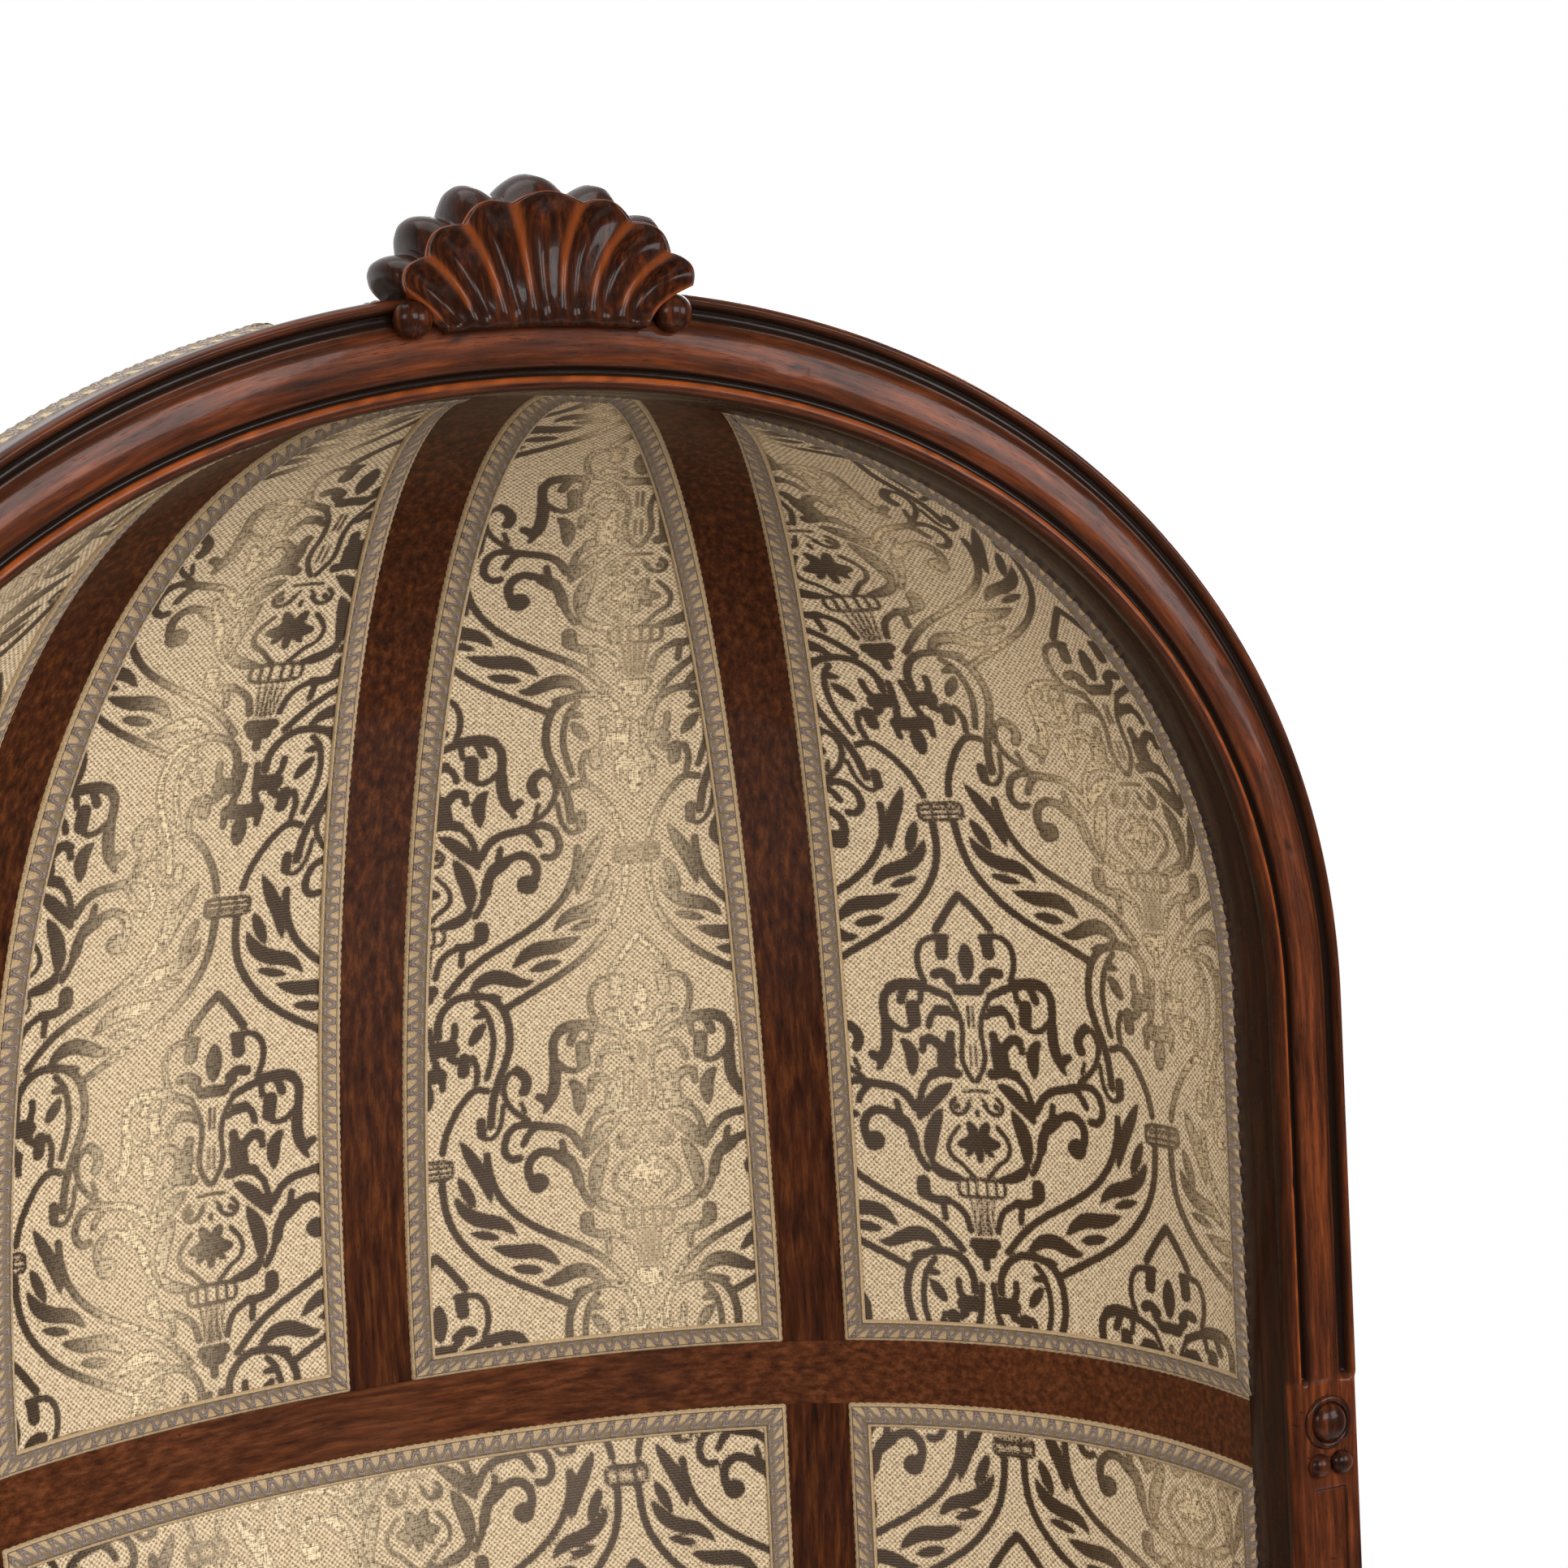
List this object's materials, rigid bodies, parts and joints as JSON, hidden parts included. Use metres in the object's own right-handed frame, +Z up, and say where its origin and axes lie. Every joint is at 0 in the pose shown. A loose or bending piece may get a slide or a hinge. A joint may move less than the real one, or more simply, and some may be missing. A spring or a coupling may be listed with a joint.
{
  "type": "hall porter chair",
  "caption": "Tall hooded armchair: an arched moulded frame with a shell crest before a ribbed, upholstered dome canopy and wrap-round back, open arms, cabriole legs and a loose seat cushion.",
  "frame": {"origin": "on the floor under the centre of the chair's box", "axes": "+Z up, +X across to a viewer's right in front of the chair, -Y towards the front"},
  "size_m": [0.8246, 0.6818, 1.712],
  "materials": {
    "carved_mahogany": "glossy red-brown polish with dark glaze in the hollows",
    "dark_mahogany": "satin dark brown polish",
    "plain_beech": "unpolished",
    "inside_damask": "woven damask, beige ground with olive-brown figure",
    "outside_damask": "woven damask, pale beige ground with olive-brown figure",
    "steel": "plain"
  },
  "bodies": {
    "chair": {"arch_crown": "carved_mahogany", "arm_left": "carved_mahogany", "arm_rail_left": "dark_mahogany", "arm_rail_right": "dark_mahogany", "arm_right": "carved_mahogany", "arm_support_left": "carved_mahogany", "arm_support_right": "carved_mahogany", "back_seat_rail": "carved_mahogany", "canopy_inner_panel_back_left": "inside_damask", "canopy_inner_panel_back_right": "inside_damask", "canopy_inner_panel_side_left": "inside_damask", "canopy_inner_panel_side_right": "inside_damask", "canopy_outer_panel_back_left": "outside_damask", "canopy_outer_panel_back_right": "outside_damask", "canopy_outer_panel_side_left": "outside_damask", "canopy_outer_panel_side_right": "outside_damask", "canopy_rib_left": "dark_mahogany", "canopy_rib_right": "dark_mahogany", "centre_rib": "dark_mahogany", "corner_block_left": "plain_beech", "corner_block_right": "plain_beech", "corner_block_screws": "steel", "floor_glides": "steel", "front_leg_left": "carved_mahogany", "front_leg_right": "carved_mahogany", "front_seat_rail": "carved_mahogany", "rear_leg_left": "carved_mahogany", "rear_leg_right": "carved_mahogany", "seat_deck": "plain_beech", "shell_crest": "carved_mahogany", "shoulder_rail": "dark_mahogany", "side_seat_rail_left": "carved_mahogany", "side_seat_rail_right": "carved_mahogany", "stile_left": "carved_mahogany", "stile_right": "carved_mahogany", "trefoil_left": "carved_mahogany", "trefoil_right": "carved_mahogany", "wall_inner_panel_back": "inside_damask", "wall_inner_panel_side_left": "inside_damask", "wall_inner_panel_side_right": "inside_damask", "wall_outer_panel_back": "outside_damask", "wall_outer_panel_high_left": "outside_damask", "wall_outer_panel_high_right": "outside_damask", "wall_outer_panel_low_left": "outside_damask", "wall_outer_panel_low_right": "outside_damask", "wall_post_left": "dark_mahogany", "wall_post_right": "dark_mahogany"},
    "cushion": {"seat_cushion": "inside_damask"}
  },
  "joints": [
    {"name": "cushion_slide", "type": "slide", "parent": "chair", "child": "cushion", "axis": [0, -1, 0], "range_m": [0, 0.7]}
  ]
}
